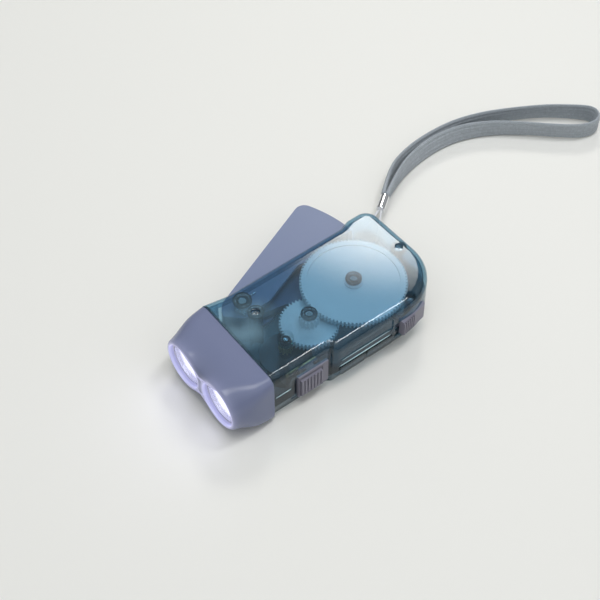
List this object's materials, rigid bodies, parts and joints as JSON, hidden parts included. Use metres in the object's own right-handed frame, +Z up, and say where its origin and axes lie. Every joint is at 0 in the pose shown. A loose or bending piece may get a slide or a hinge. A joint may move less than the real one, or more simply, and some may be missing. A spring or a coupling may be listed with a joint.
{
  "type": "hand crank flashlight",
  "caption": "Hand-powered dynamo torch: tinted clear case, side squeeze lever, visible gear train and generator, lamp head, side sliders and webbing wrist strap.",
  "frame": {"origin": "on the bottom face, straight below the axle of the large gear", "axes": "+X out of the lamps, +Y towards the side with the two sliders, +Z up from the rest face; the lever is on the -Y side"},
  "size_m": [0.2369, 0.0818, 0.027],
  "materials": {
    "case_clear": "glossy, tinted clear",
    "head_grey": "satin",
    "slider_grey": "satin",
    "gear_white": "smooth nylon",
    "black_plastic": "matt",
    "board": "matt laminate",
    "steel": "bright",
    "chrome": "polished",
    "magnet": "matt ferrite",
    "copper": "enamelled wire",
    "brass": "plain",
    "wire": "smooth sleeve",
    "string": "twisted",
    "webbing": "woven",
    "lens_clear": "clear",
    "silvered_plastic": "silvered",
    "led_clear": "clear resin"
  },
  "bodies": {
    "housing": {"upper_shell": "case_clear", "lower_shell": "case_clear", "head_cap": "head_grey", "case_screws": "steel", "led_board": "board", "storage_cell": "steel", "rectifier": "black_plastic", "lever_spring": "steel", "stator_claw_lower": "steel", "stator_claw_upper": "steel", "coil_bobbin": "black_plastic", "coil_winding": "copper", "rotor_bush_lower": "brass", "rotor_bush_upper": "brass", "switch_board": "board", "switch_contacts": "brass", "coil_wires": "wire", "switch_wires": "wire", "strap_string": "string", "strap_crimp": "chrome", "strap_webbing": "webbing", "lever_pin": "steel", "drive_axle": "steel", "mid_axle": "steel", "lens_far": "lens_clear", "lens_near": "lens_clear", "reflector_far": "silvered_plastic", "reflector_near": "silvered_plastic", "led_far": "led_clear", "led_near": "led_clear"},
    "lever": {"squeeze_lever": "head_grey"},
    "drive_train": {"drive_pinion": "gear_white", "clutch_dog": "gear_white", "clutch_spring": "steel", "big_gear": "gear_white"},
    "mid_train": {"mid_gear": "gear_white"},
    "rotor": {"rotor_pinion": "brass", "flywheel": "steel", "ring_magnet": "magnet", "rotor_shaft": "steel"},
    "light_switch": {"switch_slider": "slider_grey", "slide_contact": "brass"},
    "lever_lock": {"lock_slider": "slider_grey"}
  },
  "joints": [
    {"name": "rotor_spin", "type": "hinge", "parent": "housing", "child": "rotor", "pos_m": [0.03972, 0.00631, 0], "axis": [0, 0, 1], "range_deg": [0, 6628]},
    {"name": "lever_swing", "type": "hinge", "parent": "housing", "child": "lever", "pos_m": [0.043, -0.0185, 0], "axis": [0, 0, -1], "range_deg": [0, 22], "stiffness_Nm_per_rad": 0.3, "springref_deg": -28.65},
    {"name": "drive_spin", "type": "hinge", "parent": "housing", "child": "drive_train", "pos_m": [0, 0, 0], "axis": [0, 0, 1], "range_deg": [0, 235.4]},
    {"name": "mid_spin", "type": "hinge", "parent": "housing", "child": "mid_train", "pos_m": [0.02554, 0.00332, 0], "axis": [0, 0, 1], "range_deg": [-1381, 0]},
    {"name": "switch_slide", "type": "slide", "parent": "housing", "child": "light_switch", "axis": [1, 0, 0], "range_m": [0, 0.0028]},
    {"name": "lock_slide", "type": "slide", "parent": "housing", "child": "lever_lock", "axis": [0.9836, 0.1805, 0], "range_m": [0, 0.003]}
  ],
  "couplings": [
    {"joint": "lever_swing", "follows": "rotor_spin", "ratio": 0.0033188},
    {"joint": "drive_spin", "follows": "rotor_spin", "ratio": 0.035511},
    {"joint": "mid_spin", "follows": "rotor_spin", "ratio": -0.20833}
  ]
}
